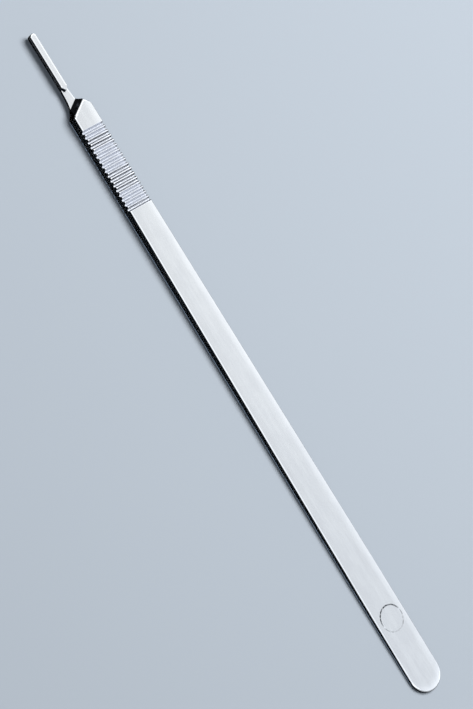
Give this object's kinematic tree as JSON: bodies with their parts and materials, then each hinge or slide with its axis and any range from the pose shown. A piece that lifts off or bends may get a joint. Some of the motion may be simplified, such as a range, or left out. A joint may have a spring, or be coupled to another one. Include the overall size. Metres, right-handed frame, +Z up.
{
  "type": "scalpel handle",
  "caption": "Long flat steel scalpel handle with a rounded butt, a cross-grooved grip, a slanted shoulder and a slotted lug on a thin tongue for a changeable blade.",
  "frame": {"origin": "centre of the bounding box, on the underside that the handle rests on", "axes": "+X along the handle from the blade's tongue towards the rounded butt, +Z up out of the face that carries the lug, +Y across the handle"},
  "size_m": [0.21, 0.011, 0.0037],
  "materials": {
    "stainless_steel": "satin, fine lengthwise brushing with softly rounded edges"
  },
  "bodies": {
    "root": {"scalpel_handle": "stainless_steel"}
  },
  "joints": []
}
